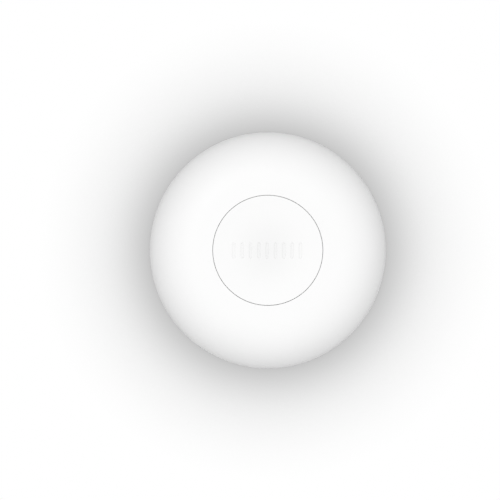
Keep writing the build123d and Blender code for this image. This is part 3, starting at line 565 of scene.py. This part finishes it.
def face_points():
    """Points inside the face's edge: contours of the grooves' walls, and an even grid elsewhere."""
    lines = groove_lines()
    reaches = GROOVE_WIDTH / 2 + GROOVE_WALL * np.linspace(-0.5, 0.5, WALL_LEVELS)
    contours = [groove_contour(*line, reach) for line in lines for reach in (GROOVE_FLOOR, *reaches)]
    span = np.arange(-FACE_RADIUS, FACE_RADIUS, FACE_GRID)
    grid = np.stack(np.meshgrid(span, span), -1).reshape(-1, 2)
    grid = grid[np.linalg.norm(grid, axis=1) < FACE_RADIUS - FACE_GRID * GRID_TO_EDGE]
    clear = distance_to(lines, grid) > reaches[-1] + FACE_GRID * GRID_TO_WALL
    return np.concatenate([*contours, grid[clear]])


def open_top(form):
    """Takes the plain face off the cap, makes its edge crisper, and returns the corners round the hole."""
    top = []
    for face in form.faces:
        places = [reach_and_height(corner) for corner in face.verts]
        if all(reach < FACE_RADIUS + NEAR and height > FACE_MIDDLE - NEAR for reach, height in places):
            top.append(face)
    bmesh.ops.delete(form, geom=top, context="FACES_ONLY")
    edge_low = FACE_MIDDLE + FACE_DISH - CAP_EDGE
    for corner in form.verts:
        reach, height = reach_and_height(corner)
        if reach > FACE_RADIUS - NEAR and height > edge_low - NEAR:
            move_out(corner, reach, CAP_RADIUS + (reach - CAP_RADIUS) * RIM_EDGE / CAP_EDGE)
    bmesh.ops.delete(form, geom=[edge for edge in form.edges if edge.is_wire], context="EDGES")
    bmesh.ops.delete(form, geom=[corner for corner in form.verts if not corner.link_faces], context="VERTS")
    rim = {corner for edge in form.edges if edge.is_boundary for corner in edge.verts}
    return sorted(rim, key=lambda corner: atan2(corner.co.y, corner.co.x))


def button_cap():
    """The button's cap, with a finely drawn face that carries the touch grooves."""
    form = merged_copy("button_cap")
    rim = open_top(form)
    count = len(rim)
    places = [Vector((corner.co.x / MM, corner.co.y / MM)) for corner in rim]
    places += [Vector(point) for point in face_points()]
    loop = [(step, (step + 1) % count) for step in range(count)]
    flat, _, triangles, originals, _, _ = delaunay_2d_cdt(places, loop, [], 1, 1e-6)
    heights = face_height(np.array([tuple(place) for place in flat]))
    corners = []
    for place, height, sources in zip(flat, heights, originals):
        on_rim = [index for index in sources if index < count]
        if on_rim:
            corners.append(rim[on_rim[0]])
        else:
            corners.append(form.verts.new((place.x * MM, place.y * MM, height * MM)))
    new_faces = [form.faces.new([corners[index] for index in triangle]) for triangle in triangles]
    form.normal_update()
    if sum(face.normal.z for face in new_faces) < 0:
        bmesh.ops.reverse_faces(form, faces=new_faces)
    shade_by_angle(form, always_smooth=new_faces)
    new_piece("cap", mesh_of(form, "cap"), "button", "button_plastic", "button_cap")


def new_tree(name, sockets):
    """Empty geometry tree with named inputs, given as pairs of a name and a socket kind."""
    tree = bpy.data.node_groups.new(name, "GeometryNodeTree")
    tree.interface.new_socket("Geometry", in_out="INPUT", socket_type="NodeSocketGeometry")
    tree.interface.new_socket("Geometry", in_out="OUTPUT", socket_type="NodeSocketGeometry")
    for label, kind in sockets:
        tree.interface.new_socket(label, in_out="INPUT", socket_type="NodeSocket" + kind)
    given = tree.nodes.new("NodeGroupInput").outputs
    return tree, given


def close_tree(tree, shape, given, smooth):
    """Ends a tree: real geometry with its shading and its material."""
    real = add_node(tree, "GeometryNodeRealizeInstances", Geometry=shape).outputs[0]
    surface = add_node(tree, "GeometryNodeSetShadeSmooth", Geometry=real, Shade_Smooth=smooth).outputs[0]
    finished = add_node(tree, "GeometryNodeSetMaterial", Geometry=surface,
                        Material=given["Material"]).outputs[0]
    add_node(tree, "NodeGroupOutput", Geometry=finished)
    return tree


def wire_tree():
    """Round wire along the edges of a path."""
    tree, given = new_tree("wire", (("Radius", "Float"), ("Sides", "Int"), ("Material", "Material")))
    path = add_node(tree, "GeometryNodeMeshToCurve", Mesh=given["Geometry"]).outputs[0]
    section = add_node(tree, "GeometryNodeCurvePrimitiveCircle", {"mode": "RADIUS"},
                       Resolution=given["Sides"], Radius=given["Radius"]).outputs[0]
    tube = add_node(tree, "GeometryNodeCurveToMesh", Curve=path, Profile_Curve=section,
                    Fill_Caps=True).outputs[0]
    return close_tree(tree, tube, given, True)


def strip_tree():
    """Flat strip along the edges of a path that lies in one level plane."""
    tree, given = new_tree("strip", (("Width", "Float"), ("Thickness", "Float"), ("Material", "Material")))
    path = add_node(tree, "GeometryNodeMeshToCurve", Mesh=given["Geometry"]).outputs[0]
    level = add_node(tree, "GeometryNodeSetCurveNormal", {"mode": "Z_UP"}, Curve=path).outputs[0]
    section = add_node(tree, "GeometryNodeCurvePrimitiveQuadrilateral", Width=given["Thickness"],
                       Height=given["Width"]).outputs[0]
    strip = add_node(tree, "GeometryNodeCurveToMesh", Curve=level, Profile_Curve=section,
                     Fill_Caps=True).outputs[0]
    return close_tree(tree, strip, given, False)


def scatter_tree():
    """Copy of one shape at each point, turned about Z by the point's own angle."""
    tree, given = new_tree("scatter", (("Shape", "Object"), ("Smooth", "Bool"), ("Material", "Material")))
    shape = add_node(tree, "GeometryNodeObjectInfo", Object=given["Shape"]).outputs["Geometry"]
    turn = add_node(tree, "GeometryNodeInputNamedAttribute", {"data_type": "FLOAT"}, Name="turn")
    angles = add_node(tree, "ShaderNodeCombineXYZ", Z=turn.outputs["Attribute"]).outputs[0]
    copies = add_node(tree, "GeometryNodeInstanceOnPoints", Points=given["Geometry"], Instance=shape,
                      Rotation=angles).outputs[0]
    return close_tree(tree, copies, given, given["Smooth"])


WIRE = wire_tree()
STRIP = strip_tree()
SCATTER = scatter_tree()


def grown(name, source, tree, values):
    """Mesh that a tree makes from a source mesh, with the tree's inputs set by their names."""
    carrier = bpy.data.objects.new(name + "_source", source)
    bpy.context.scene.collection.objects.link(carrier)
    modifier = carrier.modifiers.new("shape", "NODES")
    modifier.node_group = tree
    for socket in tree.interface.items_tree:
        if socket.in_out == "INPUT" and socket.name in values:
            modifier[socket.identifier] = values[socket.name]
    carrier.update_tag()
    graph = bpy.context.evaluated_depsgraph_get()
    mesh = bpy.data.meshes.new_from_object(carrier.evaluated_get(graph), depsgraph=graph)
    bpy.data.objects.remove(carrier)
    mesh.name = name
    return mesh


def path_mesh(lines):
    """Mesh of edges only, one chain for each list of points."""
    corners, edges = [], []
    for line in lines:
        edges += [(len(corners) + i, len(corners) + i + 1) for i in range(len(line) - 1)]
        corners += [tuple(c * MM for c in point) for point in line]
    mesh = bpy.data.meshes.new("path")
    mesh.from_pydata(corners, edges, [])
    return mesh


def wire(name, lines, radius, sides, slot, body, *replaced):
    """Piece of round wire along some lines."""
    values = {"Radius": radius * MM, "Sides": sides, "Material": material_of_slot[slot]}
    return new_piece(name, grown(name, path_mesh(lines), WIRE, values), body, slot, *replaced)


def scattered(name, shape, places, slot, body, smooth, *replaced):
    """Piece made of copies of one shape, at places given as x, y, z and a turn about Z."""
    points = bpy.data.meshes.new("points")
    points.from_pydata([tuple(c * MM for c in place[:3]) for place in places], [], [])
    turns = points.attributes.new("turn", "FLOAT", "POINT")
    turns.data.foreach_set("value", [radians(place[3]) for place in places])
    model = bpy.data.objects.new(name + "_shape", shape)
    bpy.context.scene.collection.objects.link(model)
    values = {"Shape": model, "Smooth": smooth, "Material": material_of_slot[slot]}
    mesh = grown(name, points, SCATTER, values)
    bpy.data.objects.remove(model)
    return new_piece(name, mesh, body, slot, *replaced)


def lathe(profile, sides=24):
    """Closed mesh turned about Z from an outline of (radius, height) points that runs counter-clockwise."""
    corners, rings = [], []
    for radius, height in profile:
        count = 1 if radius == 0 else sides
        rings.append(range(len(corners), len(corners) + count))
        for step in range(count):
            angle = 2 * pi * step / sides
            corners.append((radius * cos(angle) * MM, radius * sin(angle) * MM, height * MM))
    closing = [(rings[-1], rings[0])] if profile[0][0] != 0 else []
    faces = []
    for low, high in [*zip(rings, rings[1:]), *closing]:
        for step in range(sides):
            after = (step + 1) % sides
            below = (low[step % len(low)], low[after % len(low)])
            above = (high[after % len(high)], high[step % len(high)])
            face = list(dict.fromkeys(below + above))
            if len(face) > 2:
                faces.append(face)
    mesh = bpy.data.meshes.new("turned")
    mesh.from_pydata(corners, [], faces)
    return mesh


def cut_box(size, edge):
    """Box that stands on its middle, with its top edges cut off."""
    x, y = size[0] / 2, size[1] / 2
    levels = [(x, y, 0), (x, y, size[2] - edge), (x - edge, y - edge, size[2])]
    corners = []
    for a, b, height in levels:
        corners += [(u * a * MM, v * b * MM, height * MM) for u, v in ((-1, -1), (1, -1), (1, 1), (-1, 1))]
    faces = [(3, 2, 1, 0), (8, 9, 10, 11)]
    for start in (0, 4):
        for step in range(4):
            after = (step + 1) % 4
            faces.append((start + step, start + after, start + 4 + after, start + 4 + step))
    mesh = bpy.data.meshes.new("box")
    mesh.from_pydata(corners, [], faces)
    return mesh


def turned_about(x, y, angle):
    """A place in the plane turned about the origin."""
    return x * cos(angle) - y * sin(angle), x * sin(angle) + y * cos(angle)


def islands(node):
    """Lowest and highest corner of each separate solid in a node."""
    form = merged_copy(node)
    waiting = set(form.verts)
    found = []
    while waiting:
        group = []
        reached = [waiting.pop()]
        while reached:
            corner = reached.pop()
            group.append(np.array(corner.co) / MM)
            near = {edge.other_vert(corner) for edge in corner.link_edges} & waiting
            waiting -= near
            reached += near
        found.append((np.min(group, axis=0), np.max(group, axis=0)))
    form.free()
    return sorted(found, key=lambda box: (round(box[0][0], 2), round(box[0][1], 2)))


def leg_places():
    """Middles of the legs that come out below the board."""
    places = []
    for node in LEGGED_NODES:
        corners = np.array([vertex.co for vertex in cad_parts[node].data.vertices]) / MM
        tips = corners[corners[:, 2] < corners[:, 2].min() + LEG_TIP][:, :2]
        while len(tips):
            near = np.linalg.norm(tips - tips[0], axis=1) < LEG_SPREAD
            places.append(tuple((tips[near].min(0) + tips[near].max(0)) / 2))
            tips = tips[~near]
    return places


def spring_coil():
    """Return spring: closed turns at both ends and open turns between them."""
    low, high = SPRING_LOW + SPRING_WIRE, SPRING_HIGH - SPRING_WIRE
    steps = round(SPRING_TURNS * TURN_STEPS)
    closed = SPRING_CLOSED / SPRING_TURNS
    lift = 2 * SPRING_WIRE * SPRING_CLOSED
    shares = np.linspace(0, 1, steps + 1)
    heights = np.interp(shares, (0, closed, 1 - closed, 1), (low, low + lift, high - lift, high))
    angles = np.linspace(0, 2 * pi * SPRING_TURNS, steps + 1)
    line = [(SPRING_RADIUS * cos(a), SPRING_RADIUS * sin(a), z) for a, z in zip(angles, heights)]
    piece = wire("coil_spring", [line], SPRING_WIRE, SPRING_SIDES, "spring_steel", "cover", "return_spring")
    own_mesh(piece)


def screw_threads():
    """Rolled threads round the screws' shanks."""
    for node, body, shank, run in THREADS:
        lines = []
        for low, high in islands(node):
            x, y = (low[:2] + high[:2]) / 2
            start, end = low[2] + run[0], high[2] - run[1]
            line = []
            for step in range(ceil((end - start) / THREAD_PITCH * TURN_STEPS)):
                turn = 2 * pi * step / TURN_STEPS
                height = start + THREAD_PITCH * turn / (2 * pi)
                line.append((x + shank * cos(turn), y + shank * sin(turn), height))
            lines.append(line)
        wire(node + "_threads", lines, THREAD_RIDGE, THREAD_SIDES, "screw_steel", body)


def solder_joints():
    """Cones of solder round the legs below the board."""
    places = [(x, y, BOARD_BOTTOM, 0) for x, y in leg_places()]
    cone = lathe(SOLDER_OUTLINE, SOLDER_SIDES)
    scattered("solder_joints", cone, places, "tinned_metal", "base", True)


def small_chips():
    """Two-ended chips with their metal ends. Returns the ends, each turned to point away from its chip."""
    length, width, height = CHIP_PART
    places, ends, exits = [], [], []
    for low, high in islands("chip_parts"):
        x, y, _ = (low + high) / 2
        turn = 0 if high[0] - low[0] > high[1] - low[1] else 90
        places.append((x, y, BOARD_TOP, turn))
        reach = (length - END_LENGTH) / 2
        for side, back in ((-1, 180), (1, 0)):
            end = (x + side * reach * cos(radians(turn)), y + side * reach * sin(radians(turn)), BOARD_TOP)
            ends.append((*end, turn))
            exits.append((*end, turn + back))
    body = cut_box([size - inset for size, inset in zip(CHIP_PART, CHIP_INSET)], CHIP_EDGE)
    scattered("chip_bodies", body, places, "chip_ceramic", "base", False, "chip_parts")
    cap = cut_box((END_LENGTH, width, height), END_EDGE)
    scattered("chip_ends", cap, ends, "tinned_metal", "base", False)
    return exits


def controller_pads():
    """Small pads round the microcontroller. Returns them, each turned to point away from it."""
    low, high = islands("microcontroller")[0]
    middle, half = (low + high) / 2, (high[0] - low[0]) / 2
    pads = []
    for turn in (0, 90, 180, 270):
        for step in range(LEAD_COUNT):
            across = (step - (LEAD_COUNT - 1) / 2) * LEAD_PITCH
            x, y = turned_about(half, across, radians(turn))
            pads.append((middle[0] + x, middle[1] + y, BOARD_TOP, turn))
    scattered("chip_leads", cut_box(LEAD_PAD, LEAD_EDGE), pads, "tinned_metal", "base", False)
    return pads


def cell_mark():
    """Plain raised cross on the cell's can."""
    low, high = islands("battery")[0]
    middle, arm, width = (low + high) / 2, CELL_MARK[0] / 2, CELL_MARK[1] / 2
    corner = ((arm, width), (width, width), (width, arm))
    outline = [turned_about(x, y, angle) for angle in (0, pi / 2, pi, 1.5 * pi) for x, y in corner]
    form = bmesh.new()
    rings = []
    for height in (high[2] - CELL_MARK[2], high[2] + CELL_MARK[2]):
        rings.append([form.verts.new(((middle[0] + x) * MM, (middle[1] + y) * MM, height * MM))
                      for x, y in outline])
    bottom, top = rings
    form.faces.new(top)
    form.faces.new(bottom[::-1])
    for step in range(len(outline)):
        after = (step + 1) % len(outline)
        form.faces.new((bottom[step], bottom[after], top[after], top[step]))
    new_piece("cell_mark", mesh_of(form, "cross"), "base", "cell_steel")


def pin_mark():
    """Round dimple at the microcontroller's first pin."""
    low, high = islands("microcontroller")[0]
    bottom, top = PIN_MARK_LEVELS
    dot = lathe([(0, bottom), (PIN_MARK_RADIUS, bottom), (PIN_MARK_RADIUS, top), (0, top)])
    place = (low[0] + PIN_MARK_INSET, high[1] - PIN_MARK_INSET, high[2], 0)
    scattered("pin_mark", dot, [place], "chip_ceramic", "base", False)


def blocked_places():
    """Boxes on the board that tracks keep out of, and round places with their radii."""
    boxes = [islands(node)[0] for node in SEATED_NODES]
    rounds = list(SWITCH_AND_CELL)
    for low, high in islands("board_screws"):
        rounds.append((*((low + high) / 2)[:2], SCREW_CLEARANCE))
    rounds += [(x, y, LEG_CLEARANCE) for x, y in leg_places()]
    rounds += NOTCHES
    return boxes, rounds


def drawn_track(dice, start, turn):
    """Track that leaves a pad straight and then slants: its bend, its end and points along it."""
    straight, slanting = (dice.uniform(*lengths) for lengths in TRACK_RUNS)
    slant = turn + dice.choice(TRACK_SLANTS)
    start = np.array(start)
    bend = start + straight * np.array((cos(radians(turn)), sin(radians(turn))))
    end = bend + slanting * np.array((cos(radians(slant)), sin(radians(slant))))
    shares = np.linspace(0, 1, RUN_POINTS)[:, None]
    return bend, end, np.concatenate([start + shares * (bend - start), bend + shares * (end - bend)])


def is_free(points, taken, boxes, rounds):
    """Whether a track stays on the board, clear of the pieces and of the tracks already there."""
    away = points[POINTS_ON_PAD:]
    if any(hypot(*point) >= BOARD_RADIUS - BOARD_MARGIN for point in away):
        return False
    if any(np.linalg.norm(away - (x, y), axis=1).min() <= radius for x, y, radius in rounds):
        return False
    for low, high in boxes:
        if ((away > low[:2] - SEAT_CLEARANCE) & (away < high[:2] + SEAT_CLEARANCE)).all(1).any():
            return False
    if not len(taken):
        return True
    gaps = np.linalg.norm(points[:, None] - taken[None], axis=2)
    return gaps.min() > TRACK_WIDTH + TRACK_SPACE and gaps[-1].min() > VIA_RADIUS + TRACK_SPACE


def board_tracks(starts):
    """Tracks from the pads, each of which ends in a via."""
    boxes, rounds = blocked_places()
    dice = np.random.RandomState(TRACK_SEED)
    taken = np.empty((0, 2))
    tracks, vias = [], []
    for x, y, _, turn in starts:
        for _ in range(TRACK_TRIES):
            bend, end, points = drawn_track(dice, (x, y), turn)
            if is_free(points, taken, boxes, rounds):
                taken = np.concatenate([taken, points])
                tracks.append([(x, y, BOARD_TOP), (*bend, BOARD_TOP), (*end, BOARD_TOP)])
                vias.append((*end, BOARD_TOP, 0))
                break
    material = laminate("masked_copper", MASKED_COPPER)
    values = {"Width": TRACK_WIDTH * MM, "Thickness": 2 * TRACK_HEIGHT * MM, "Material": material}
    strips = grown("board_tracks", path_mesh(tracks), STRIP, values)
    new_piece("board_tracks", strips, "base", "board_laminate", material=material)
    bottom, top = VIA_LEVELS
    outline = [(VIA_HOLE, bottom), (VIA_RADIUS, bottom), (VIA_RADIUS, top), (VIA_HOLE, top)]
    scattered("board_vias", lathe(outline, VIA_SIDES), vias, "tinned_metal", "base", False)


bpy.context.scene.view_settings.view_transform = "Standard"
place_camera()
sky()
floor()
lamp()
finish_nodes()
front_cover()
button_cap()
tamper_tip()
spring_coil()
screw_threads()
solder_joints()
chip_exits = small_chips()
board_tracks(chip_exits + controller_pads())
cell_mark()
pin_mark()
